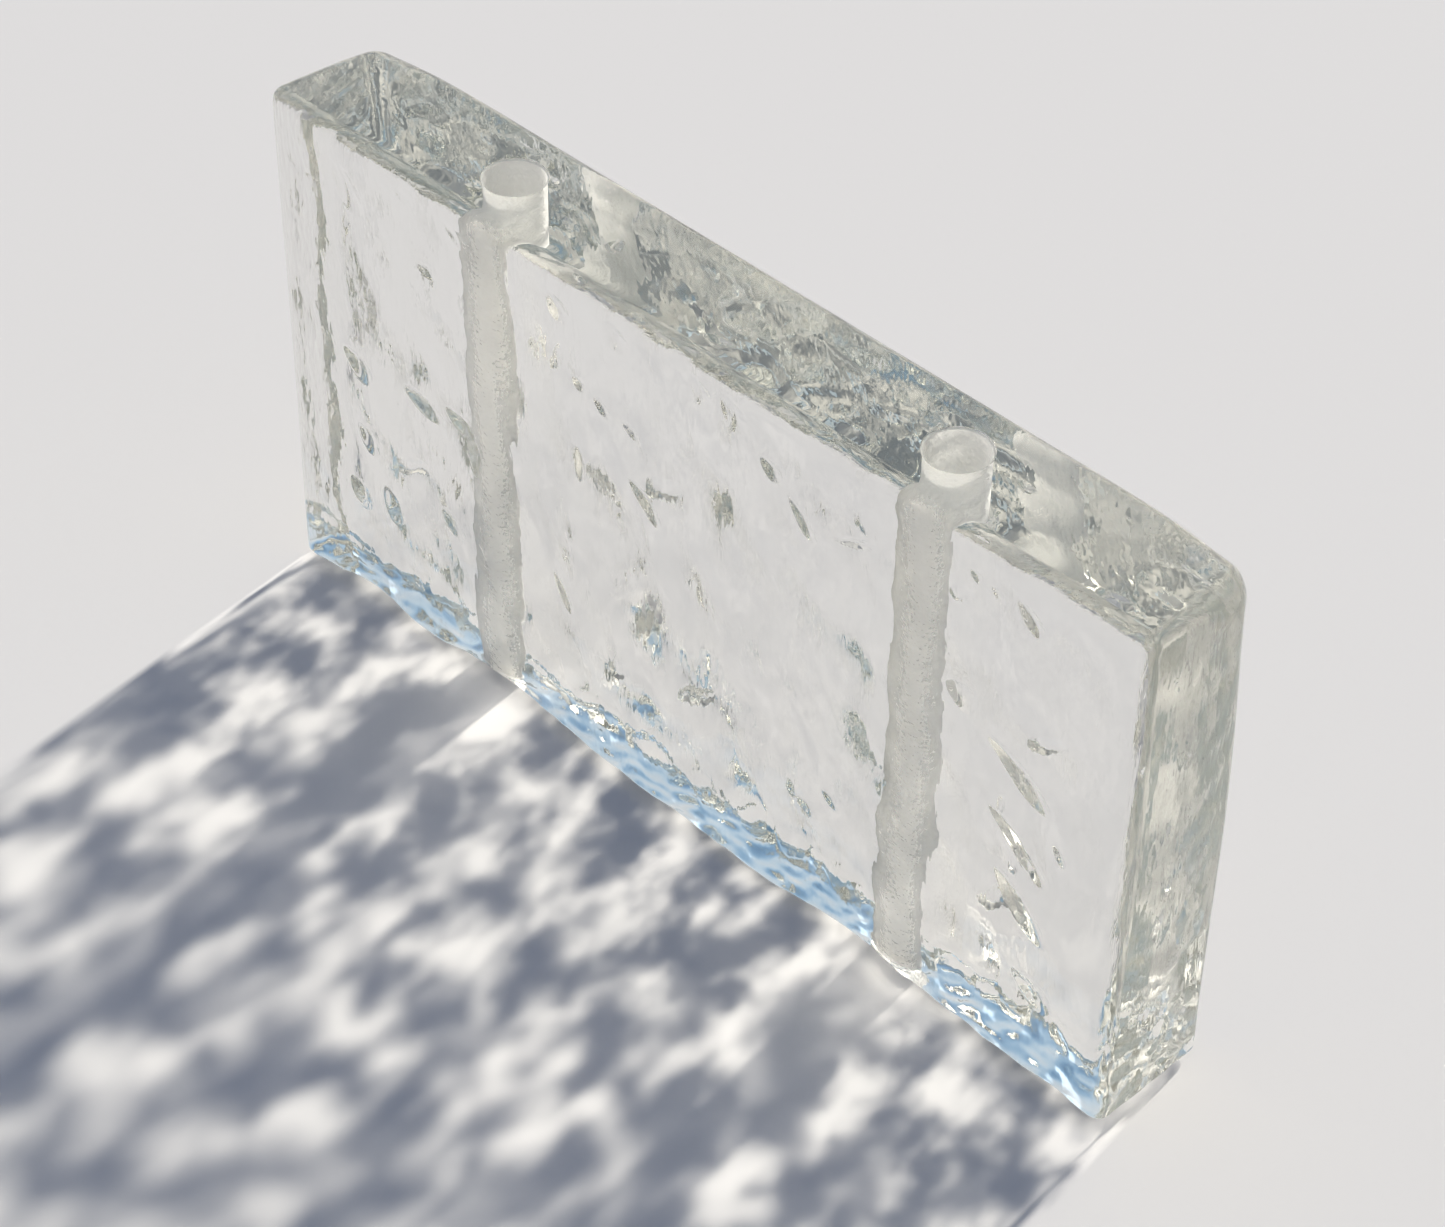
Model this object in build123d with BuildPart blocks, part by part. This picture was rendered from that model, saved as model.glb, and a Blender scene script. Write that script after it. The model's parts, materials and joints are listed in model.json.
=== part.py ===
"""Cast glass brick with two bores for steel rods, standing on its long narrow face.

Millimetres. X runs along the length, Y through the thickness and Z up. The origin is
the middle of the bed face that the brick stands on.
"""

import os
from math import cos, exp, hypot, pi, radians, sin

from build123d import *

# The brick and its fire-rounded edges
LENGTH = 240.0
THICKNESS = 30.0
HEIGHT = 125.0
EDGE_RADIUS = 3.0

# The two drilled bores, which take rods that tie the courses of a wall together
BORE_DIAMETER = 13.0
BORE_SPACING = 120.0
RIM_CHAMFER = 0.5

# A rippled panel is sunk in each large face, inside a narrow flat frame with round corners
FRAME_WIDTH = 2.0
FRAME_CORNER = 16.0
PANEL_DEPTH = 0.9
PANEL_FADE = 8.0

# The swells of each panel: wavelength, heading in degrees, height from trough to crest,
# phase in degrees. Half the heights together stay under the depth of the panel.
FRONT_SWELLS = (
    (62.0, 35.0, 0.8, 20.0),
    (38.0, 52.0, 0.45, 140.0),
    (27.0, 118.0, 0.3, 250.0),
)
BACK_SWELLS = (
    (55.0, -30.0, 0.8, 75.0),
    (34.0, -64.0, 0.45, 10.0),
    (24.0, 70.0, 0.3, 190.0),
)

# Hollows low on the front panel: place along the length, depth, half width
FRONT_HOLLOWS = (
    (-98.0, 1.2, 12.0),
    (-57.0, 1.8, 19.0),
    (48.0, 1.2, 12.0),
)
HOLLOW_HEIGHT = 18.0

# The wavy surfaces are fitted through a grid of points, and run past the brick on all sides
GRID_STEP = 5.0
OVERRUN = 10.0


def inside_frame(x, z):
    """How far a point of a large face lies inside the inner line of the frame."""
    border = EDGE_RADIUS + FRAME_WIDTH
    past_x = abs(x) - (LENGTH / 2 - border - FRAME_CORNER)
    past_z = abs(z - HEIGHT / 2) - (HEIGHT / 2 - border - FRAME_CORNER)
    return FRAME_CORNER - hypot(max(past_x, 0.0), max(past_z, 0.0)) - min(max(past_x, past_z), 0.0)


def swell(x, z, swells):
    """How far the swells rise over the mean surface of the panel."""
    rise = 0.0
    for wavelength, heading, height, phase in swells:
        along = x * cos(radians(heading)) + z * sin(radians(heading))
        rise += height / 2 * sin(2 * pi * along / wavelength + radians(phase))
    return rise


def hollow(x, z, hollows):
    """How far the low hollows sink in, deepest at the foot and gone higher up."""
    share = exp(-((max(z, 0.0) / HOLLOW_HEIGHT) ** 2))
    return share * sum(deep * exp(-(((x - place) / half) ** 2)) for place, deep, half in hollows)


def panel_depth(x, z, swells, hollows):
    """The depth below the flat face: 0 on the frame's inner line and less than 0 outside it."""
    inward = inside_frame(x, z)
    if inward < 0:
        return PANEL_DEPTH * inward / PANEL_FADE
    share = 1 - exp(-inward / PANEL_FADE)
    relief = hollow(x, z, hollows) - swell(x, z, swells)
    return share * (PANEL_DEPTH + share * relief)


def wavy_surface(side, swells, hollows=()):
    """The surface of one large face's panel: side is -1 for the front face and 1 for the back."""
    columns = round((LENGTH + 2 * OVERRUN) / GRID_STEP)
    rows = round((HEIGHT + 2 * OVERRUN) / GRID_STEP)
    points = []
    for row in range(rows + 1):
        z = -OVERRUN + (HEIGHT + 2 * OVERRUN) * row / rows
        line = []
        for column in range(columns + 1):
            x = -LENGTH / 2 - OVERRUN + (LENGTH + 2 * OVERRUN) * column / columns
            depth = panel_depth(x, z, swells, hollows)
            line.append((x, side * (THICKNESS / 2 - depth), z))
        points.append(line)
    return Face.make_surface_from_array_of_points(points, min_deg=3, max_deg=3)


front_surface = wavy_surface(-1, FRONT_SWELLS, FRONT_HOLLOWS)
back_surface = wavy_surface(1, BACK_SWELLS)

with BuildPart() as glass_block:
    with BuildSketch(Plane.XY):
        Rectangle(LENGTH, THICKNESS)
    extrude(amount=HEIGHT)

    # The fire rounds every outer edge
    fillet(glass_block.edges(), EDGE_RADIUS)

    # The hot glass takes the mould's ripples on its two large faces
    extrude(front_surface, amount=THICKNESS / 2, dir=(0, -1, 0), mode=Mode.SUBTRACT)
    extrude(back_surface, amount=THICKNESS / 2, dir=(0, 1, 0), mode=Mode.SUBTRACT)

    # The bores are drilled through from the top, and their rims are arrised
    with BuildSketch(Plane.XY.offset(HEIGHT)):
        with GridLocations(BORE_SPACING, 0, 2, 1):
            Circle(BORE_DIAMETER / 2)
    extrude(amount=-HEIGHT, mode=Mode.SUBTRACT)
    end_faces = glass_block.faces().filter_by(Axis.Z)
    rims = end_faces.edges().filter_by(GeomType.CIRCLE)
    chamfer(rims, RIM_CHAMFER)

glass_block.part.label = "glass_block"

os.makedirs("parts", exist_ok=True)
export_step(glass_block.part, "parts/glass_block.step")
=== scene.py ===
# %% [markdown]
# # Cast glass brick
#
# A solid brick of clear cast glass, as used for walls that let light through. Hot glass took
# the shape of a mould, which left ripples and small dents in the two large faces, and the
# fire rounded all the edges. Two holes for steel rods were drilled through it from the top.
#
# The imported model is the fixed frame: it gives the brick's size and the bores' places. It is
# in metres, as Blender is. The lengths below are in millimetres, until the mesh is finished.

import json
from math import cos, pi, radians, sin, tan

import bmesh
import bpy
import numpy as np
from mathutils import Matrix, Vector, noise


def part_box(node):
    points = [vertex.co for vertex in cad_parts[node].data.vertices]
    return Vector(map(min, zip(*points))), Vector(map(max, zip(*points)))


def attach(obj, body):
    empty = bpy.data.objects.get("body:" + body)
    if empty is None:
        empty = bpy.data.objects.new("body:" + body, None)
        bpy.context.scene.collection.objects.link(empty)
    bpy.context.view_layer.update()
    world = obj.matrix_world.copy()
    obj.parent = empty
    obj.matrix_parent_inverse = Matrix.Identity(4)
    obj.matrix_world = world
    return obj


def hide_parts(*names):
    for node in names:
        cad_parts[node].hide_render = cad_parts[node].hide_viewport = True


MM = 0.001
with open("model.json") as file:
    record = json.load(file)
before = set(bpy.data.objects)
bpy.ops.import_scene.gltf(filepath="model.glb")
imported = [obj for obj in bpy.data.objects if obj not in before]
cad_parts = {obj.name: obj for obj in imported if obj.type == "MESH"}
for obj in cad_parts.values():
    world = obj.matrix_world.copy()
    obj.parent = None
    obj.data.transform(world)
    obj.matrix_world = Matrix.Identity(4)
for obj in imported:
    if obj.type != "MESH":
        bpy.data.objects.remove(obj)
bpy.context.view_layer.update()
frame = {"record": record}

brick_low, brick_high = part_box("glass_block")
LENGTH, THICKNESS, HEIGHT = (brick_high - brick_low) / MM
bores = [m for m in frame["record"]["mounts"] if m["kind"] == "bore"]
BORE_RADIUS = bores[0]["dims"]["r_mm"]
BORE_PLACES = sorted(bore["pos_m"][0] / MM for bore in bores)
print(f"brick {LENGTH:.0f} x {THICKNESS:.0f} x {HEIGHT:.0f} mm, bores at {BORE_PLACES} mm")

# %% [markdown]
# ## The camera
#
# A camera is a place, a direction and a lens. These came from fitting the brick's eight
# corners and the two bore rims to the photograph. The camera looks down on the top face and
# the front face, and along the brick from its right end. `matrix_world` takes the camera's own
# axes as columns: right, up and backwards.

# %% Camera
CAMERA_AZIMUTH = 45.09
CAMERA_ELEVATION = 40.98
CAMERA_ROLL = 0.83
CAMERA_TARGET = Vector((0.17, 0.0, 48.07)) * MM
CAMERA_DISTANCE = 748.75 * MM
CAMERA_LENS = 91.70
SENSOR_WIDTH = 36.0


def camera_axes(azimuth, elevation, roll):
    """The right, up and forward directions of a camera that looks along +Y at azimuth 0."""
    az, el, turn = radians(azimuth), radians(elevation), radians(roll)
    forward = Vector((-sin(az) * cos(el), cos(az) * cos(el), -sin(el)))
    right = Vector((cos(az), sin(az), 0.0))
    up = right.cross(forward)
    return right * cos(turn) + up * sin(turn), up * cos(turn) - right * sin(turn), forward


right, up, forward = camera_axes(CAMERA_AZIMUTH, CAMERA_ELEVATION, CAMERA_ROLL)
camera_data = bpy.data.cameras.new("camera")
camera_data.lens = CAMERA_LENS
camera_data.sensor_width = SENSOR_WIDTH
camera = bpy.data.objects.new("camera", camera_data)
place = CAMERA_TARGET - forward * CAMERA_DISTANCE
camera.matrix_world = Matrix.Translation(place) @ Matrix((right, up, -forward)).transposed().to_4x4()
bpy.context.scene.collection.objects.link(camera)
bpy.context.scene.camera = camera
print("camera at", [round(c / MM) for c in place], "mm")

# %% [markdown]
# ## A net of lines over a rounded box
#
# The brick could be a cube with a bevel, but glass shows every uneven facet, because light
# bends at each of them. So the net is laid line by line: even squares on the flat faces, and lines
# at even angles round the edges. Each point of the net lies on a sharp box first. Later it is
# drawn in to the inner box and pushed out again by the edge radius, which rounds all twelve
# edges and eight corners at once.
#
# The lines meet the corners of a square round each bore, where a round patch goes in later.

# %% Net lines
EDGE_RADIUS = 3.0
ROUND_STEPS = 4
NET_STEP = 1.3
HALF = np.array([LENGTH / 2, THICKNESS / 2, HEIGHT / 2])
INNER = HALF - EDGE_RADIUS
PATCH_HALF = INNER[1]


def spaced(stops, step):
    """Places from the first stop to the last, evenly spaced between two stops."""
    places = [stops[0]]
    for start, end in zip(stops, stops[1:]):
        count = max(1, round((end - start) / step))
        places += [start + (end - start) * (i + 1) / count for i in range(count)]
    return places


def net_lines(stops, step):
    """The lines across one axis: even ones on the flat, and even angles on the roundings."""
    round_off = [EDGE_RADIUS * tan(radians(45) * (i + 1) / ROUND_STEPS) for i in range(ROUND_STEPS)]
    low, high = stops[0], stops[-1]
    return [low - r for r in reversed(round_off)] + spaced(stops, step) + [high + r for r in round_off]


patch_stops = sorted(place + side * PATCH_HALF for place in BORE_PLACES for side in (-1, 1))
NET = (
    net_lines([-INNER[0], *patch_stops, INNER[0]], NET_STEP),
    net_lines([-INNER[1], INNER[1]], NET_STEP),
    net_lines([-INNER[2], INNER[2]], NET_STEP),
)
print("net lines:", [len(lines) for lines in NET])

# %% [markdown]
# ## The skin of the box
#
# Each of the six faces is a grid of squares. A dictionary keyed by the rounded place gives
# neighbouring faces the same points along their shared edge, so the skin is closed without
# any merging afterwards. The squares over the bores are left out.

# %% Skin
PLACE_DIGITS = 4
points = []
point_at = {}
faces = []


def point(x, y, z):
    """The number of the point at this place, which is made where it is missing."""
    key = (round(x, PLACE_DIGITS), round(y, PLACE_DIGITS), round(z, PLACE_DIGITS))
    if key not in point_at:
        point_at[key] = len(points)
        points.append(key)
    return point_at[key]


def over_a_bore(x, y):
    """True where a square of the top or the bed lies in the patch round a bore."""
    return any(abs(x - place) < PATCH_HALF and abs(y) < PATCH_HALF for place in BORE_PLACES)


def lay_face(axis, side):
    """Lays the squares of the face that looks along one axis, to its low or its high side."""
    u, v = (axis + 1) % 3, (axis + 2) % 3
    for u0, u1 in zip(NET[u], NET[u][1:]):
        for v0, v1 in zip(NET[v], NET[v][1:]):
            if axis == 2 and over_a_bore((u0 + u1) / 2, (v0 + v1) / 2):
                continue
            ring = []
            for a, b in ((u0, v0), (u1, v0), (u1, v1), (u0, v1)):
                corner = [0.0, 0.0, 0.0]
                corner[axis], corner[u], corner[v] = side * HALF[axis], a, b
                ring.append(point(*corner))
            faces.append(ring if side > 0 else ring[::-1])


for axis in range(3):
    for side in (-1, 1):
        lay_face(axis, side)
print(f"skin: {len(points)} points, {len(faces)} squares")

# %% [markdown]
# ## The bores
#
# A core drill leaves a straight, ground wall, and its rim is broken by a narrow arris so
# that it doesn't chip. Rings of points lead from the square patch to the round rim, over the
# arris and down the wall to the bed face. Every ring has the same number of points, so the
# whole bore is squares too.

# %% Rings of a bore
RIM_CHAMFER = 0.5
SLACK = 1e-6


def patch_border(centre):
    """The net's points round the patch, anticlockwise from its corner at +X and +Y."""
    ys = [y for y in NET[1] if abs(y) <= PATCH_HALF + SLACK]
    xs = [x for x in NET[0] if abs(x - centre) <= PATCH_HALF + SLACK]
    loop = [(x, ys[-1]) for x in reversed(xs)][:-1]
    loop += [(xs[0], y) for y in reversed(ys)][:-1]
    loop += [(x, ys[0]) for x in xs][:-1]
    loop += [(xs[-1], y) for y in ys][:-1]
    return loop


def patch_ring(centre, border, circle, share, z):
    """A ring between the square border, at 0, and the outer rim of the arris, at 1."""
    outer = BORE_RADIUS + RIM_CHAMFER
    ring = []
    for (x, y), a in zip(border, circle):
        rim_x, rim_y = centre + outer * cos(a), outer * sin(a)
        ring.append(point(x + (rim_x - x) * share, y + (rim_y - y) * share, z))
    return ring


def wall_ring(centre, circle, z):
    """A level ring of the bore's wall."""
    return [point(centre + BORE_RADIUS * cos(a), BORE_RADIUS * sin(a), z) for a in circle]


def bridge(ring_a, ring_b):
    """Joins two rings of points with squares."""
    count = len(ring_a)
    for i in range(count):
        j = (i + 1) % count
        faces.append([ring_a[i], ring_a[j], ring_b[j], ring_b[i]])


print(f"outer rim of the arris {2 * (BORE_RADIUS + RIM_CHAMFER):.0f} mm across")

# %% [markdown]
# ## Down through the brick
#
# The rings of the patch lie closer together towards the rim, where the squares have to follow
# the circle. Then rings every two millimetres lead down the wall.

# %% Bores
WALL_STEP = 2.0
PATCH_RINGS = (0.0, 0.3, 0.55, 0.75, 0.9, 1.0)


def lay_bore(centre):
    """Lays one bore from the top face down to the bed face."""
    border = patch_border(centre)
    circle = [radians(45) + 2 * pi * i / len(border) for i in range(len(border))]
    count = round((HEIGHT - 2 * RIM_CHAMFER) / WALL_STEP)
    levels = np.linspace(HALF[2] - RIM_CHAMFER, RIM_CHAMFER - HALF[2], count + 1)
    rings = [patch_ring(centre, border, circle, share, HALF[2]) for share in PATCH_RINGS]
    rings += [wall_ring(centre, circle, z) for z in levels]
    rings += [patch_ring(centre, border, circle, share, -HALF[2]) for share in reversed(PATCH_RINGS)]
    for above, below in zip(rings, rings[1:]):
        bridge(above, below)


for centre in BORE_PLACES:
    lay_bore(centre)
print(f"with bores: {len(points)} points, {len(faces)} squares")

# %% [markdown]
# ## What the mould left in the faces: swells
#
# The large faces carry three sizes of relief. Long swells run across them at a slant. Ripples
# a few millimetres wide, drawn out along the flow of the glass, lie over the swells. Small
# dents, mostly drop-shaped and slanting, stand out most, because their steep sides bend the
# light away. At the foot of the front face there are also three broad hollows.
#
# A displacement texture could do this, but the swells and the dents have known places and
# sizes, so each is a formula in millimetres. The swells come first. They and the sunk panel
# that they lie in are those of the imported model, but here the front panel runs out over the
# foot, and its hollows are a little deeper.

# %% Swells and hollows
FRAME_CORNER = 16.0
PANEL_BORDER = 5.0
PANEL_DEPTH = 0.9
PANEL_FADE = 8.0
# Wavelength, heading in degrees, height from trough to crest, phase in degrees
FRONT_SWELLS = ((62.0, 35.0, 0.8, 20.0), (38.0, 52.0, 0.45, 140.0), (27.0, 118.0, 0.3, 250.0))
BACK_SWELLS = ((55.0, -30.0, 0.8, 75.0), (34.0, -64.0, 0.45, 10.0), (24.0, 70.0, 0.3, 190.0))
# Place along X, depth, half width
FOOT_HOLLOWS = ((-98.0, 1.6, 12.0), (-57.0, 2.2, 19.0), (48.0, 1.4, 12.0))
FOOT_HOLLOW_HEIGHT = 18.0


def inside_panel(x, z, open_foot):
    """How far points lie inside the line where the sunk panel of a large face begins."""
    past_x = np.abs(x) - (HALF[0] - PANEL_BORDER - FRAME_CORNER)
    past_z = (z if open_foot else np.abs(z)) - (HALF[2] - PANEL_BORDER - FRAME_CORNER)
    outside = np.hypot(np.maximum(past_x, 0.0), np.maximum(past_z, 0.0))
    return FRAME_CORNER - outside - np.minimum(np.maximum(past_x, past_z), 0.0)


def swell(x, z, swells):
    """How far the long swells rise over the mean surface of the panel."""
    rise = np.zeros_like(x)
    for wavelength, heading, height, phase in swells:
        along = x * cos(radians(heading)) + (z + HALF[2]) * sin(radians(heading))
        rise += height / 2 * np.sin(2 * pi * along / wavelength + radians(phase))
    return rise


def foot_hollow(x, z):
    """The broad hollows that make the foot of the front face wander."""
    share = np.exp(-(((z + HALF[2]) / FOOT_HOLLOW_HEIGHT) ** 2))
    return share * sum(deep * np.exp(-(((x - place) / half) ** 2)) for place, deep, half in FOOT_HOLLOWS)


swell_height = sum(height for _, _, height, _ in FRONT_SWELLS)
print(f"swells up to {swell_height:.2f} mm from trough to crest, {len(FOOT_HOLLOWS)} hollows")

# %% [markdown]
# ## Dents in the front face
#
# Each dent is a drop-shaped dip with a place, a length, a width, a slant and a depth. They
# were measured on the photograph, all but the depths. Those can't be seen there, so they were
# chosen by how strongly each dent shows. All widths and all depths are then raised together,
# to bring the dents nearer to how they show in the photograph.

# %% Dents in front
FRONT_DENTS = (
    # place along X, place up Z, length, width, slant from upright, depth
    (-72, 103, 5, 1.6, 70, 0.35),
    (-75, 67, 14, 3.4, 75, 0.75),
    (-64, 68, 10, 3.2, 60, 0.75),
    (-60, 61, 12, 3.0, 12, 0.7),
    (-94, 47, 9, 4.6, 40, 0.85),
    (-98, 30, 9, 4.4, 40, 0.85),
    (-87, 33, 10, 4.0, 25, 0.85),
    (-96, 66, 11, 4.4, 60, 0.8),
    (-67, 39, 10, 4.0, 45, 0.45),
    (-62, 117, 8, 3.0, 60, 0.4),
    (-78, 119, 5, 3.0, 60, 0.35),
    (-96, 111, 13, 6.0, 30, 0.5),
    (-27, 99, 4, 1.8, 60, 0.4),
    (-20, 97, 6, 2.2, 60, 0.4),
    (-12, 95, 6, 2.0, 60, 0.4),
    (-27, 79, 9, 2.0, 12, 0.45),
    (-8, 80, 13, 3.0, 50, 0.5),
    (27, 109, 7, 3.0, 50, 0.5),
    (35, 102, 13, 2.6, 43, 0.55),
    (48, 104, 12, 1.6, 110, 0.3),
    (-32, 115, 8, 5.0, 35, 0.7),
    (-15, 117, 8, 5.0, 35, 0.7),
    (8, 117, 8, 4.4, 35, 0.7),
    (17, 117, 9, 5.0, 35, 0.7),
    (-33, 42, 12, 2.4, 33, 0.4),
    (34, 32, 5, 1.6, 16, 0.35),
    (38, 29, 5, 1.8, 50, 0.35),
    (45, 36, 6, 1.8, 50, 0.35),
    (79, 115, 4, 2.0, 50, 0.4),
    (84, 114, 4, 2.0, 50, 0.4),
    (92, 113, 9, 3.0, 45, 0.5),
    (77, 85, 8, 5.0, 70, 0.6),
    (92, 75, 20, 3.8, 60, 0.85),
    (93, 57, 20, 3.4, 52, 0.85),
    (94, 42, 19, 3.8, 45, 0.85),
    (103, 62, 6, 1.8, 35, 0.4),
    (99, 23, 12, 4.4, 60, 0.75),
)
DENT_ROUNDING = 1.3
DENT_SCALE = 1.9
DENT_WIDEN = 1.7
DROP_TAPER = 0.22


def dent_reach(x, z, dent):
    """0 at the middle of a dent and 1 on its rim. Its lower end is broader, like a drop."""
    place, rise, length, width, slant, _ = dent
    dx, dz = x - place, z + HALF[2] - rise
    lean = radians(slant)
    along = (dx * sin(lean) - dz * cos(lean)) / (length / 2)
    across = (dx * cos(lean) + dz * sin(lean)) / (width * DENT_WIDEN / 2)
    taper = 1 - DROP_TAPER + DROP_TAPER * np.clip(along, -1.0, 1.0)
    return np.hypot(along, across / taper)


def dent_depth(x, z, dents):
    """How deep the dents are together."""
    depth = np.zeros_like(x)
    for dent in dents:
        reach = np.clip(dent_reach(x, z, dent), 0.0, 1.0)
        depth += DENT_SCALE * dent[-1] * (1 - reach**2) ** DENT_ROUNDING
    return depth


print(f"{len(FRONT_DENTS)} dents in front")

# %% [markdown]
# ## Dents in the back face
#
# The photograph doesn't show the back face clearly, so its dents are a guess of the same
# kind. Chance places them, with a fixed seed, so that they come out the same each time.

# %% Dents behind
BACK_DENT_COUNT = 14
BACK_DENT_SEED = 3
SPREAD_ALONG = 0.94
SPREAD_UP = 0.9
BACK_LENGTHS = (5, 15)
BACK_WIDTHS = (2.0, 4.5)
BACK_SLANTS = (-60, -15)
BACK_DEPTHS = (0.3, 0.55)


def scattered_dents(count, seed):
    """Dents spread evenly by chance, each like a row of the table for the front."""
    chance = np.random.default_rng(seed)
    dents = []
    for _ in range(count):
        x = chance.uniform(-SPREAD_ALONG, SPREAD_ALONG) * HALF[0]
        z = HALF[2] + chance.uniform(-SPREAD_UP, SPREAD_UP) * HALF[2]
        length = chance.uniform(*BACK_LENGTHS)
        width = chance.uniform(*BACK_WIDTHS)
        dents.append((x, z, length, width, chance.uniform(*BACK_SLANTS), chance.uniform(*BACK_DEPTHS)))
    return tuple(dents)


BACK_DENTS = scattered_dents(BACK_DENT_COUNT, BACK_DENT_SEED)
print(f"{len(BACK_DENTS)} dents behind")

# %% [markdown]
# ## Ripples
#
# The flow of the glass drew its ripples out at a slant. Smooth noise looks like them when it
# is stretched one way. Two layers, a coarse one and a fine one, keep them from looking even.

# %% Ripples
RIPPLE_SLANT = 22.0
# Short way, long way, height
RIPPLES = ((7.0, 13.0, 0.65), (5.2, 9.0, 0.12))
LAYERS_APART = 7.0


def ripple(x, y, z, slant):
    """How far the ripples rise, drawn out along a slant."""
    lean = radians(slant)
    along = x * sin(lean) - z * cos(lean)
    across = x * cos(lean) + z * sin(lean)
    rise = np.zeros_like(x)
    for layer, (short, long, height) in enumerate(RIPPLES):
        where = zip(across / short, along / long, y / THICKNESS + LAYERS_APART * layer)
        rise += height * np.array([noise.noise(Vector(p)) for p in where])
    return rise


print("ripples", " and ".join(f"{short} x {long}" for short, long, _ in RIPPLES), "mm")

# %% [markdown]
# ## The mesh, finer where the dents are
#
# A dent two millimetres wide needs points every third of a millimetre, but the whole brick at
# that spacing would be over a million triangles. So the net stays coarse, and only the squares
# in and near a dent are split, and split again. A reach of 1 is the rim of a dent.

# %% Mesh
SPLIT_REACHES = (1.35, 1.15)
FACE_SLACK = 1e-3

brick_mesh = bpy.data.meshes.new("cast_glass_brick")
brick_mesh.from_pydata([Vector(p) for p in points], [], faces)
net = bmesh.new()
net.from_mesh(brick_mesh)


def near_dents(mesh_faces, reach):
    """The squares of the large faces that lie within reach of a dent."""
    x, y, z = np.array([face.calc_center_median() for face in mesh_faces]).T
    near = np.zeros(len(x), bool)
    for side, dents in ((-1, FRONT_DENTS), (1, BACK_DENTS)):
        on_face = side * y > HALF[1] - FACE_SLACK
        for dent in dents:
            near |= on_face & (dent_reach(x, z, dent) < reach)
    return [face for face, chosen in zip(mesh_faces, near) if chosen]


for reach in SPLIT_REACHES:
    chosen = near_dents(list(net.faces), reach)
    edges = list({edge for face in chosen for edge in face.edges})
    bmesh.ops.subdivide_edges(net, edges=edges, cuts=1, use_grid_fill=True)
    print(f"split near dents: {len(net.faces)} faces")
net.to_mesh(brick_mesh)
net.free()

# %% [markdown]
# ## Rounded edges, and two worn corners
#
# Every point moves from the sharp box onto the rounded one. In the photograph, the two top
# corners at the back are rounder than the other edges, as if they were worn, so the radius
# grows near them. The wear reaches further down the upright edges than along the top.

# %% Rounding
WORN_RADIUS = 7.0
WORN_REACH = 16.0
UP_SHARE = 0.45
# Points nearer to the inner box than this share of the radius are inside, on the bore walls
ON_THE_SKIN = 0.999
# The least length to divide by
NO_LENGTH = 1e-9


def corner_radius(place):
    """The edge radius at each point, which grows towards the two worn corners."""
    radius = np.full((len(place), 1), EDGE_RADIUS)
    for side in (-1, 1):
        apart = (place - HALF * (side, 1, 1)) * (1, 1, UP_SHARE)
        near = np.exp(-(np.linalg.norm(apart, axis=1, keepdims=True) / WORN_REACH) ** 2)
        radius += (WORN_RADIUS - EDGE_RADIUS) * near
    return radius


def on_rounded_box(place):
    """Moves points of the sharp box onto the rounded one, and leaves the bore walls alone."""
    radius = corner_radius(place)
    inner = np.clip(place, radius - HALF, HALF - radius)
    out = place - inner
    far = np.linalg.norm(out, axis=1, keepdims=True)
    moved = inner + out * (radius / np.maximum(far, NO_LENGTH))
    return np.where(far > radius * ON_THE_SKIN, moved, place)


place = np.array([v.co for v in brick_mesh.vertices])
place = on_rounded_box(place)
x, y, z = place.T
print("largest edge radius", corner_radius(place).max().round(1), "mm")

# %% [markdown]
# ## The relief goes on
#
# The relief is a depth, by which each point of the large faces moves in. It fades out over the
# rounded edges, and the ripples fade towards the frame of the panel as well, because the
# outline of the real brick is straight there. Only the foot of the front face wanders.

# %% Large faces
RAMP_START, RAMP_END = 8.0, 12.0
EDGE_RIPPLE = 0.08
EDGE_DENT = 0.3


def ramp(value, start, end):
    """0 up to the start, 1 past the end and smooth between them."""
    share = np.clip((value - start) / (end - start), 0.0, 1.0)
    return share * share * (3 - 2 * share)


def face_depth(side, swells, dents, slant, open_foot):
    """The whole relief of one large face, as a depth below the flat."""
    inward = np.maximum(inside_panel(x, z, open_foot), 0.0)
    share = 1 - np.exp(-inward / PANEL_FADE)
    hollow = foot_hollow(x, z) if open_foot else 0.0
    panel = share * (PANEL_DEPTH + share * (hollow - swell(x, z, swells)))
    dented = dent_depth(x, z, dents) * (EDGE_DENT + (1 - EDGE_DENT) * share)
    flat_y = np.full_like(x, side * HALF[1])
    rippled = ripple(x, flat_y, z, slant) * (EDGE_RIPPLE + (1 - EDGE_RIPPLE) * share)
    return panel + dented - rippled


front_depth = face_depth(-1, FRONT_SWELLS, FRONT_DENTS, RIPPLE_SLANT, True)
back_depth = face_depth(1, BACK_SWELLS, BACK_DENTS, -RIPPLE_SLANT, False)
place[:, 1] += ramp(-y, RAMP_START, RAMP_END) * front_depth
place[:, 1] -= ramp(y, RAMP_START, RAMP_END) * back_depth
print("front depth", front_depth.min().round(2), "to", front_depth.max().round(2), "mm")

# %% [markdown]
# ## The ends
#
# The ends bow in a little, with long upright ripples along their middle, and with short ones
# on their far half. Each ripple is smooth noise, longer one way than the other. Noise fills
# space, so each kind of ripple is cut from a layer of its own, and so is each end.

# %% Ends
END_REACH = 8.0
END_BOW = 0.3
BOW_LENGTH = 90.0
# Short way, long way, height
END_RIPPLE = (6.0, 45.0, 0.22)
END_CURL = (5.0, 12.0, 0.35)
END_RIPPLE_LAYER = 5.0
END_CURL_LAYER = 9.0
MIDDLE_START = 6.0
CURL_LEAN = 0.6
CURL_RISES = (-2.0, 5.0)
CURL_FADES = (7.0, 12.0)


def stretched_noise(across, along, layer, sizes):
    """Smooth noise of two lengths and a height, cut from one layer."""
    short, long, height = sizes
    where = zip(across / short, along / long, layer + 0 * across)
    return height * np.array([noise.noise(Vector(p)) for p in where])


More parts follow.
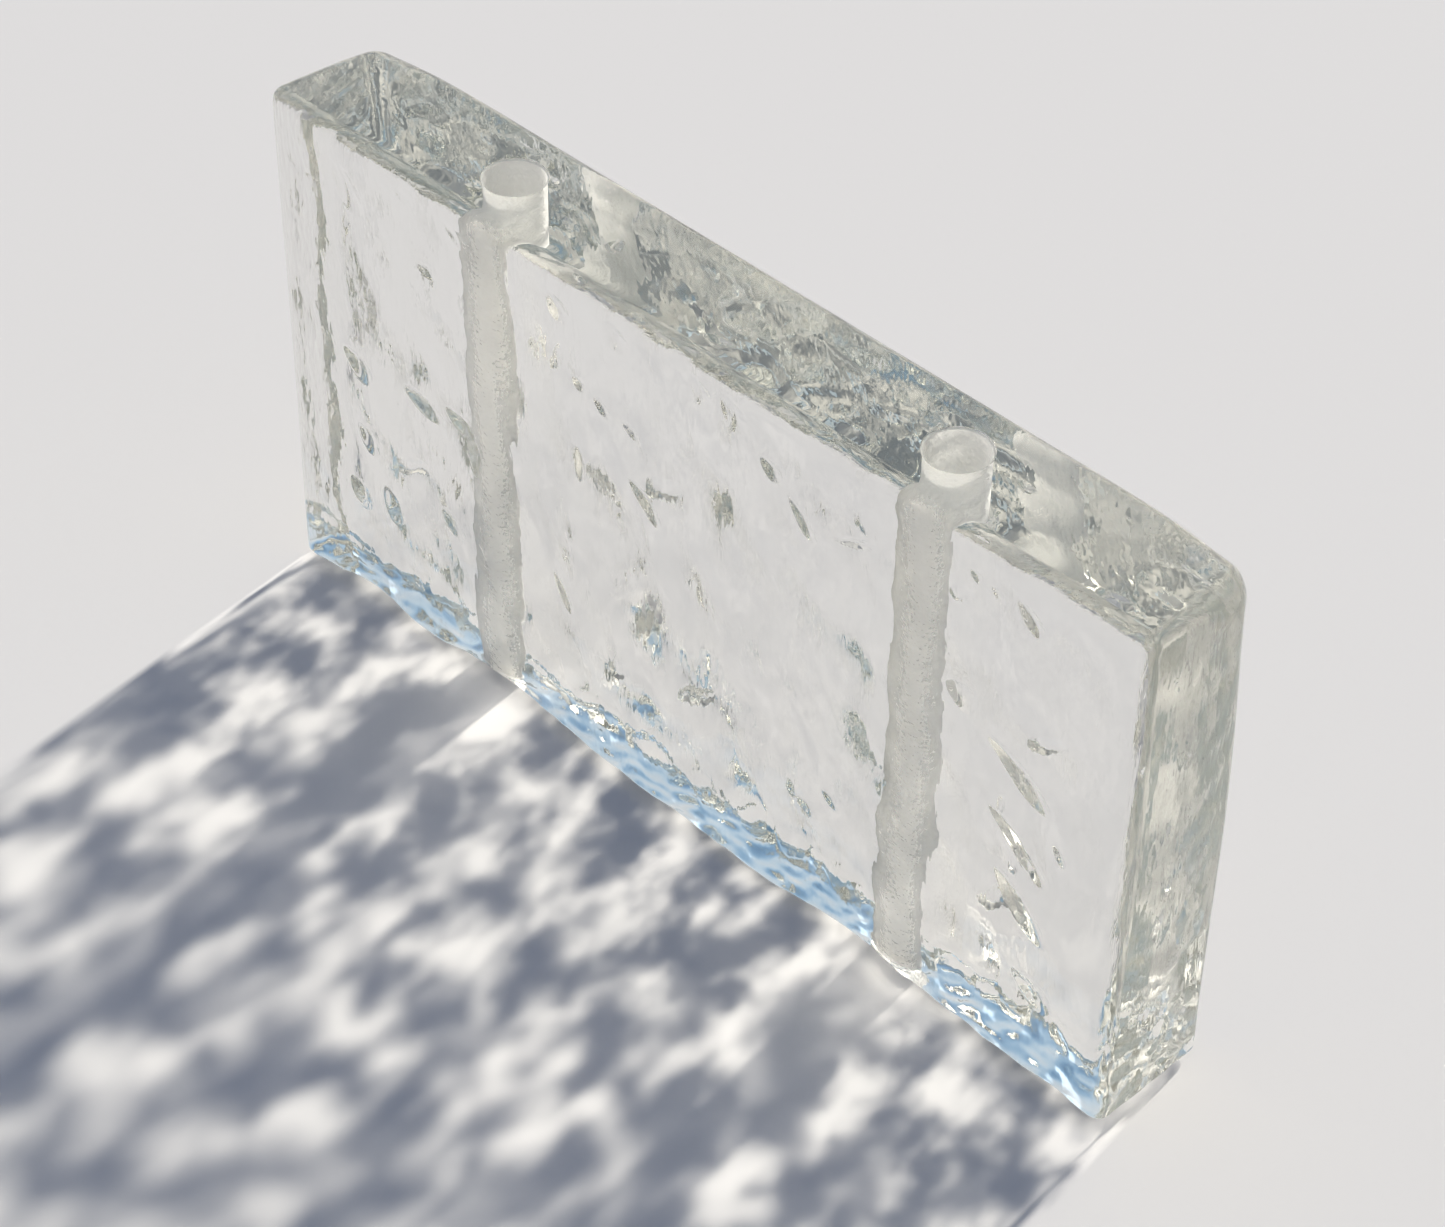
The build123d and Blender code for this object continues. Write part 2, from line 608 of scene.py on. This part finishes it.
end = np.sign(x)
end_share = ramp(np.abs(x), HALF[0] - END_REACH, HALF[0] - EDGE_RADIUS)
# The sign of the end shifts the bow too, so that the two ends differ
bow = END_BOW * (0.5 - 0.5 * np.sin(2 * pi * z / BOW_LENGTH + end))
end_middle = 1 - ramp(np.abs(y), MIDDLE_START, INNER[1])
far_half = ramp(y, *CURL_RISES) * (1 - ramp(y, *CURL_FADES))
upright_ripple = stretched_noise(y, z, end * END_RIPPLE_LAYER, END_RIPPLE) * end_middle
short_ripple = stretched_noise(z - CURL_LEAN * y, y, end * END_CURL_LAYER, END_CURL) * far_half
end_depth = np.maximum(bow + END_RIPPLE[-1] + upright_ripple + short_ripple, 0.0)
place[:, 0] -= end * end_share * end_depth
print("end depth up to", (end_share * end_depth).max().round(2), "mm")

# %% [markdown]
# ## The bed face
#
# The bed face is the one that the brick stands on. The strip of sky that it mirrors is ragged
# in the photograph, so it is crinkled all over, but for a narrow ring round each bore, where
# the drilled rim stays true. Its real shape can't be seen.

# %% Bed
BORE_CLEAR = (1.5, 3.5)
# Short way, long way, height
BED_RIPPLE = (5.0, 7.5, 1.4)
BED_CRINKLE = (3.6, 4.4, 0.8)
BACK_FOOT = (4.5, 6.5, 4.2)
BED_RIPPLE_LAYER = 3.0
BED_CRINKLE_LAYER = 11.0
BACK_FOOT_LAYER = 17.0
BED_FLAT = 0.2
BED_SHARE = 0.5

from_bore = np.min([np.hypot(x - centre, y) for centre in BORE_PLACES], axis=0)
off_bore = ramp(from_bore, BORE_RADIUS + BORE_CLEAR[0], BORE_RADIUS + BORE_CLEAR[1])
bed_share = ramp(-z, HALF[2] - EDGE_RADIUS, HALF[2] - BED_FLAT) * off_bore
bed_ripple = stretched_noise(x, y, BED_RIPPLE_LAYER, BED_RIPPLE)
bed_crinkle = stretched_noise(x, y, BED_CRINKLE_LAYER, BED_CRINKLE)
bed_rise = np.maximum(BED_RIPPLE[-1] + (bed_ripple + bed_crinkle), 0.0)
print("bed crinkled by up to", (bed_share * bed_rise * BED_SHARE).max().round(2), "mm")

# %% [markdown]
# ## The worn back foot
#
# The upper border of that strip of sky is more ragged still. It is the bed's back edge, seen
# through the front face, so that edge is taken to be worn: it is raised and drawn in unevenly.

# %% Back foot
WEAR_BEHIND = 5.0
WEAR_INSET = 1.0
WEAR_UP = 9.0
WEAR_FLAT = 0.5
WEAR_MEAN, WEAR_MOST = 0.5, 2.0
WEAR_FORWARD = 0.4

behind = ramp(y, WEAR_BEHIND, HALF[1] - WEAR_INSET)
low_down = ramp(-z, HALF[2] - WEAR_UP, HALF[2] - WEAR_FLAT)
foot_share = behind * low_down * off_bore
wear = stretched_noise(x, y + z, BACK_FOOT_LAYER, BACK_FOOT)
foot_wear = np.clip(wear + WEAR_MEAN, 0.0, WEAR_MOST)
place[:, 2] += bed_share * bed_rise * BED_SHARE + foot_share * foot_wear
place[:, 1] -= foot_share * foot_wear * WEAR_FORWARD
print("back foot worn by up to", (foot_share * foot_wear).max().round(2), "mm")

# %% [markdown]
# ## The finished mesh
#
# The net was laid round the middle of the brick. The brick stands on the floor, so it moves up
# by half its height, and its millimetres become metres.

# %% Finished mesh
place[:, 2] += HALF[2]
brick_mesh.vertices.foreach_set("co", (place * MM).astype(np.float32).ravel())
brick_mesh.update()
print("lowest point", place[:, 2].min().round(2), "mm")

# %% [markdown]
# ## Smooth shading, and a mark on the ground walls
#
# The glass is shaded smooth, so that light bends evenly over it. The rims and arrises of the
# bores stay sharp. A number on each point, 1 on the bore walls and 0 elsewhere, lets one
# material be clear outside and ground inside.

# %% Shading
SHARP_ANGLE = 38.0
brick_mesh.shade_smooth()
brick_mesh.set_sharp_from_angle(angle=radians(SHARP_ANGLE))
ground = brick_mesh.attributes.new("ground", "FLOAT", "POINT")
ground.data.foreach_set("value", (from_bore < BORE_RADIUS + RIM_CHAMFER / 2).astype(np.float32))
brick = bpy.data.objects.new("cast_glass_brick", brick_mesh)
bpy.context.scene.collection.objects.link(brick)
brick_mesh.calc_loop_triangles()
print(f"{len(brick_mesh.loop_triangles)} triangles")

# %% [markdown]
# ## Helpers for materials
#
# Colours are written as on a colour card, in sRGB, and one function turns them into what a
# node takes. Another one adds a node and links it in the same line.

# %% Helpers
def linear(hex_colour):
    """An sRGB hex colour as the linear colour that a node takes."""
    values = [int(hex_colour[i : i + 2], 16) / 255 for i in (1, 3, 5)]
    return tuple(v / 12.92 if v <= 0.04045 else ((v + 0.055) / 1.055) ** 2.4 for v in values) + (1.0,)


def add_node(tree, kind, settings=None, **links):
    """Adds a node. An input's value is a number, a colour or another node's output."""
    node = tree.nodes.new(kind)
    for name, value in (settings or {}).items():
        setattr(node, name, value)
    for name, value in links.items():
        socket = node.inputs[name.replace("_", " ")]
        if isinstance(value, bpy.types.NodeSocket):
            tree.links.new(value, socket)
        else:
            socket.default_value = value
    return node


def new_material(name):
    """An empty material and its output node."""
    material = bpy.data.materials.new(name)
    material.use_nodes = True
    material.node_tree.nodes.clear()
    return material, material.node_tree.nodes.new("ShaderNodeOutputMaterial")


print("mid grey #808080 is", round(linear("#808080")[0], 3), "in linear light")

# %% [markdown]
# ## Clear cast glass, ground in the bores
#
# This is soda-lime glass, the glass of windows and bottles. The fire left its outside smooth
# and clear, with an IOR of about 1.52. Its faint green grey comes from a volume, so that a long
# way through the glass, as behind the top face, is darker than the short way through the front.
#
# The core drill left the walls of the bores ground. A ground wall is rough and scatters the
# light, so it looks pale and milky, and hides what is behind it. Part of the light still goes
# on into the glass, scattered, which keeps the walls from turning chalky.

# %% Cast glass
GLASS_IOR = 1.52
GLASS_COLOUR = "#FFFFFF"
GLASS_TINT = "#E3E3DB"
TINT_PER_METRE = 9.0
GROUND_ROUGHNESS = 1.0
GROUND_CLEAR = 0.7
GROUND_COLOUR = "#F6F5F2"
# A Mix node has inputs of several kinds under one name, so its colours go by number
MIX_FIRST, MIX_SECOND, MIX_RESULT = 6, 7, 2

cast_glass, output = new_material("clear_cast_glass")
tree = cast_glass.node_tree
mask = add_node(tree, "ShaderNodeAttribute", {"attribute_name": "ground"}).outputs["Fac"]
rough = add_node(tree, "ShaderNodeMapRange", Value=mask, To_Min=0.0, To_Max=GROUND_ROUGHNESS)
clear = add_node(tree, "ShaderNodeMapRange", Value=mask, To_Min=1.0, To_Max=GROUND_CLEAR)
tone = add_node(tree, "ShaderNodeMix", {"data_type": "RGBA"}, Factor=mask)
tone.inputs[MIX_FIRST].default_value = linear(GLASS_COLOUR)
tone.inputs[MIX_SECOND].default_value = linear(GROUND_COLOUR)
volume = add_node(tree, "ShaderNodeVolumeAbsorption", Color=linear(GLASS_TINT), Density=TINT_PER_METRE)
tree.links.new(volume.outputs["Volume"], output.inputs["Volume"])
print(f"glass of IOR {GLASS_IOR}, with {GROUND_CLEAR:.0%} of the light going on through ground walls")

# %% [markdown]
# ## Fine ripples and grain
#
# The finest ripples are under two millimetres wide, too small for the mesh, so a bump makes
# them: noise stretched along the flow of the glass. On the bore walls the bump is a grain,
# much deeper for its size. Real grit is far finer. This grain is drawn as coarse and deep as
# it needs to be for the walls to show, evenly milky.

# %% Bump heights
FINE_RIPPLE = 1.8
FINE_HEIGHT = 0.12
FINE_STRETCH = 0.35
FINE_SLANT = 35.0
FINE_DETAIL = 1.0
GRAIN = 1.4
GRAIN_HEIGHT = 0.45
GRAIN_DETAIL = 2.0

spot = add_node(tree, "ShaderNodeTexCoord").outputs["Object"]
stretch = add_node(tree, "ShaderNodeMapping", {"vector_type": "POINT"}, Vector=spot)
stretch.inputs["Rotation"].default_value = (0.0, radians(FINE_SLANT), 0.0)
stretch.inputs["Scale"].default_value = (1.0, 1.0, FINE_STRETCH)
flow = stretch.outputs["Vector"]
fine_scale, grain_scale = 1 / (FINE_RIPPLE * MM), 1 / (GRAIN * MM)
fine = add_node(tree, "ShaderNodeTexNoise", Vector=flow, Scale=fine_scale, Detail=FINE_DETAIL)
grain = add_node(tree, "ShaderNodeTexNoise", Vector=spot, Scale=grain_scale, Detail=GRAIN_DETAIL)
surface = add_node(tree, "ShaderNodeMix", {"data_type": "FLOAT"}, Factor=mask)
tree.links.new(fine.outputs["Fac"], surface.inputs["A"])
tree.links.new(grain.outputs["Fac"], surface.inputs["B"])
fine_depth, grain_depth = FINE_HEIGHT * MM, GRAIN_HEIGHT * MM
deep = add_node(tree, "ShaderNodeMapRange", Value=mask, To_Min=fine_depth, To_Max=grain_depth)
print(f"fine ripples {FINE_RIPPLE} mm wide, grain {GRAIN} mm wide")

# %% [markdown]
# ## Bump on the upright faces only
#
# The bump fades out where a face looks up or down. The streaks in the top face of the
# photograph look like ripples of the large faces, seen through it, and not like its own.

# %% Bump on upright faces
LEVEL_START, LEVEL_END = 0.3, 0.7

normal = add_node(tree, "ShaderNodeNewGeometry").outputs["Normal"]
upward = add_node(tree, "ShaderNodeSeparateXYZ", Vector=normal).outputs["Z"]
level = add_node(tree, "ShaderNodeMath", {"operation": "ABSOLUTE"})
tree.links.new(upward, level.inputs[0])
sides_only = add_node(
    tree,
    "ShaderNodeMapRange",
    Value=level.outputs["Value"],
    From_Min=LEVEL_START,
    From_Max=LEVEL_END,
    To_Min=1.0,
    To_Max=0.0,
)
relief = add_node(
    tree,
    "ShaderNodeBump",
    Strength=sides_only.outputs["Result"],
    Distance=deep.outputs["Result"],
    Height=surface.outputs["Result"],
)
shader = add_node(
    tree,
    "ShaderNodeBsdfPrincipled",
    Base_Color=tone.outputs[MIX_RESULT],
    IOR=GLASS_IOR,
    Roughness=rough.outputs["Result"],
    Transmission_Weight=clear.outputs["Result"],
    Normal=relief.outputs["Normal"],
)
print(f"bump fades where the normal's Z passes {LEVEL_START}, and is gone at {LEVEL_END}")

# %% [markdown]
# ## Light through the glass
#
# Rippled glass gathers sunlight into bright patches and leaves dark ones between them. A
# render would need very long to find those paths, and without them glass throws a black
# shadow. So rays towards the lamp go straight through a transparent shader instead, and a
# broad noise on the surface makes it brighter in some places and darker in others.
#
# The patches are about as large as the photograph's, but not in the same places. The shift
# along the noise was picked from four tries, by how alike the shadows were.

# %% Patches
PATCH_SIZE = 14.0
PATCH_FLATTEN = 1.1
PATCH_SHIFT = 143.0
PATCH_DETAIL = 2.5

flat = add_node(tree, "ShaderNodeMapping", {"vector_type": "POINT"}, Vector=spot)
flat.inputs["Location"].default_value = (PATCH_SHIFT * MM, 0.0, 0.0)
flat.inputs["Scale"].default_value = (1.0, 1.0, PATCH_FLATTEN)
shifted = flat.outputs["Vector"]
patch_scale = 1 / (PATCH_SIZE * MM)
blotch = add_node(tree, "ShaderNodeTexNoise", Vector=shifted, Scale=patch_scale, Detail=PATCH_DETAIL)
print(f"patches of about {PATCH_SIZE:.0f} mm")

# %% [markdown]
# ## How strong the patches are
#
# They are strongest at the foot, because light from higher up has spread more by the time it
# lands. The ground walls let an even, smaller part through, so the bores draw two soft bars.

# %% Strength of the patches
# The noise turns from dark to bright between these two values
PATCH_EDGES = (0.36, 0.6)
# How much of the lamp's light passes where it is dark, and where it is bright
FOOT_PATCHES = (0.04, 1.2)
TOP_PATCHES = (0.16, 1.15)
WALL_PASS = 0.6

rise = add_node(tree, "ShaderNodeSeparateXYZ", Vector=spot).outputs["Z"]
dark, bright = [
    add_node(tree, "ShaderNodeMapRange", Value=rise, From_Max=HEIGHT * MM, To_Min=foot, To_Max=top)
    for foot, top in zip(FOOT_PATCHES, TOP_PATCHES)
]
gathered = add_node(
    tree,
    "ShaderNodeMapRange",
    {"interpolation_type": "SMOOTHSTEP"},
    Value=blotch.outputs["Fac"],
    From_Min=PATCH_EDGES[0],
    From_Max=PATCH_EDGES[1],
    To_Min=dark.outputs["Result"],
    To_Max=bright.outputs["Result"],
)
passed = add_node(tree, "ShaderNodeMix", {"data_type": "FLOAT"}, Factor=mask, B=WALL_PASS)
tree.links.new(gathered.outputs["Result"], passed.inputs["A"])
straight = add_node(tree, "ShaderNodeBsdfTransparent", Color=passed.outputs["Result"])
print(f"light passed at the foot: {FOOT_PATCHES[0]} to {FOOT_PATCHES[1]} at each surface")

# %% [markdown]
# ## The glass as one material
#
# A light path node tells which kind of ray asks. Rays towards the lamp get the transparent
# shader, and all others the glass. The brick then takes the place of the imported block, and
# rides on the root, as the part has nothing that moves.

# %% Glass side
lamp_rays = add_node(tree, "ShaderNodeLightPath").outputs["Is Shadow Ray"]
glass_side = add_node(tree, "ShaderNodeMixShader", Fac=lamp_rays)
tree.links.new(shader.outputs["BSDF"], glass_side.inputs[1])
tree.links.new(straight.outputs["BSDF"], glass_side.inputs[2])
tree.links.new(glass_side.outputs["Shader"], output.inputs["Surface"])

brick_mesh.materials.append(cast_glass)
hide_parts("glass_block")
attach(brick, "root")
print(f"{cast_glass.name} has {len(tree.nodes)} nodes")

# %% [markdown]
# ## Floor
#
# The set is a plain pale floor of matt paint, which scatters the light evenly and hardly
# shines. It lies a fifth of a millimetre under the brick, so that the bed face borders on air.
# From inside the glass, that face is then a mirror.

# %% Floor
FLOOR_SIZE = 8.0
FLOOR_GAP = 0.2 * MM
FLOOR_COLOUR = "#E2E1E0"
FLOOR_ROUGHNESS = 0.9
FLOOR_SHINE = 0.1

bpy.ops.mesh.primitive_plane_add(size=FLOOR_SIZE, location=(0, 0, -FLOOR_GAP))
floor = bpy.context.object
floor.name = "floor"
floor_paint, output = new_material("pale_floor")
tree = floor_paint.node_tree
paint = linear(FLOOR_COLOUR)
shader = add_node(tree, "ShaderNodeBsdfPrincipled", Base_Color=paint, Roughness=FLOOR_ROUGHNESS)
shader.inputs["Specular IOR Level"].default_value = FLOOR_SHINE
tree.links.new(shader.outputs["BSDF"], output.inputs["Surface"])
floor.data.materials.append(floor_paint)
print(f"floor {FLOOR_SIZE:.0f} m wide, {FLOOR_GAP / MM:.1f} mm under the brick")

# %% [markdown]
# ## Sky
#
# Glass shows mostly what is round it. The sky is pale grey at the horizon, pale blue higher up
# and deeper blue overhead. The bed face mirrors that blue as a strip along the foot of the
# brick, and the dents pick up its darker part.

# %% Sky colours
# Height of the direction, from 0 at the horizon to 1 overhead, and the colour there
SKY_STOPS = (
    (0.0, "#E3E2E0"),
    (0.3, "#D5DCE1"),
    (0.62, "#C0D6E7"),
    (0.8, "#93B6D4"),
    (1.0, "#6487AB"),
)

world = bpy.data.worlds.new("sky")
bpy.context.scene.world = world
world.use_nodes = True
tree = world.node_tree
tree.nodes.clear()
direction = add_node(tree, "ShaderNodeTexCoord").outputs["Generated"]
height = add_node(tree, "ShaderNodeSeparateXYZ", Vector=direction).outputs["Z"]
sky = add_node(tree, "ShaderNodeValToRGB", Fac=height)
colours = sky.color_ramp.elements
# Each new stop starts in the middle and gets its own place below
while len(colours) < len(SKY_STOPS):
    colours.new(0.5)
for element, (stop, colour) in zip(colours, SKY_STOPS):
    element.position = stop
    element.color = linear(colour)
print(f"sky of {len(colours)} colours")

# %% [markdown]
# ## The sky's glow
#
# Round the lamp the sky glows a little, as a real sky does round the sun. The angle between a
# ray and the way to the lamp comes from their dot product, which is 1 where they agree.

# %% Glow
LAMP_AZIMUTH = 97.0
LAMP_ELEVATION = 32.0
GLOW_REACH = 18.0
GLOW_STRENGTH = 2.0

level_share = cos(radians(LAMP_ELEVATION))
lamp_way = Vector((
    cos(radians(LAMP_AZIMUTH)) * level_share,
    sin(radians(LAMP_AZIMUTH)) * level_share,
    sin(radians(LAMP_ELEVATION)),
))
toward = add_node(tree, "ShaderNodeVectorMath", {"operation": "DOT_PRODUCT"}, Vector=direction)
toward.inputs[1].default_value = lamp_way
glow = add_node(
    tree,
    "ShaderNodeMapRange",
    {"interpolation_type": "SMOOTHSTEP"},
    Value=toward.outputs["Value"],
    From_Min=cos(radians(GLOW_REACH)),
    From_Max=1.0,
    To_Min=1.0,
    To_Max=GLOW_STRENGTH,
)
print(f"glow within {GLOW_REACH:.0f} degrees of the lamp")

# %% [markdown]
# ## Who sees which sky
#
# The glass sees the sky as it is. The same sky would light the floor too evenly, so rays that
# have met a matt surface get a weaker, bluer one, and it colours the shadow. The camera sees a
# plain backdrop of about the floor's colour. At a strength of 1, a colour shows as written.

# %% Sky by ray
BACKDROP = "#E6E6E5"
SKY_FILL = 0.37
FILL_COLOUR = "#B6C5E4"

rays = add_node(tree, "ShaderNodeLightPath").outputs
seen = add_node(tree, "ShaderNodeBackground", Color=sky.outputs["Color"])
tree.links.new(glow.outputs["Result"], seen.inputs["Strength"])
fill = add_node(tree, "ShaderNodeBackground", Color=linear(FILL_COLOUR), Strength=SKY_FILL)
lit = add_node(tree, "ShaderNodeMixShader", Fac=rays["Diffuse Depth"])
tree.links.new(seen.outputs["Background"], lit.inputs[1])
tree.links.new(fill.outputs["Background"], lit.inputs[2])
plain = add_node(tree, "ShaderNodeBackground", Color=linear(BACKDROP), Strength=1.0)
choose = add_node(tree, "ShaderNodeMixShader", Fac=rays["Is Camera Ray"])
tree.links.new(lit.outputs["Shader"], choose.inputs[1])
tree.links.new(plain.outputs["Background"], choose.inputs[2])
add_node(tree, "ShaderNodeOutputWorld", Surface=choose.outputs["Shader"])
print(f"matt surfaces get {SKY_FILL} of a full sky")

# %% [markdown]
# ## Lamp
#
# One warm lamp stands behind the brick, a third of the way up the sky, so the shadow falls
# forward and is about 1.6 times as long as the brick is high. The shadow's edges gave its
# direction. It is two degrees wide, which softens the far end of the shadow.

# %% Lamp
LAMP_SPREAD = 2.0
LAMP_STRENGTH = 4.65
LAMP_COLOUR = "#FFF9EE"

lamp_data = bpy.data.lights.new("broad_lamp", "SUN")
lamp_data.energy = LAMP_STRENGTH
lamp_data.angle = radians(LAMP_SPREAD)
lamp_data.color = linear(LAMP_COLOUR)[:3]
lamp = bpy.data.objects.new("broad_lamp", lamp_data)
lamp.rotation_euler = lamp_way.to_track_quat("Z", "Y").to_euler()
bpy.context.scene.collection.objects.link(lamp)
print(f"shadow {1 / tan(radians(LAMP_ELEVATION)):.1f} times as long as the brick is high")

# %% [markdown]
# ## Settings for light in glass
#
# Four settings keep this light true. Glass gets enough bounces to be seen through. Blurred
# reflections are turned off, because they would find the lamp through the clear glass and
# light the shadow twice. Chance hits on the lamp are left out for the same reason, and the
# sky isn't sampled for shadow rays, because those would pass the glass as lamp rays do.

# %% Settings
GLOSSY_BOUNCES = 12
GLASS_BOUNCES = 16
ALL_BOUNCES = 20

scene = bpy.context.scene
scene.view_settings.view_transform = "Standard"
scene.cycles.glossy_bounces = GLOSSY_BOUNCES
scene.cycles.transmission_bounces = GLASS_BOUNCES
scene.cycles.max_bounces = ALL_BOUNCES
scene.cycles.blur_glossy = 0.0
lamp_data.cycles.use_multiple_importance_sampling = False
world.cycles.sampling_method = "NONE"
print(f"light may pass {GLASS_BOUNCES} glass surfaces")
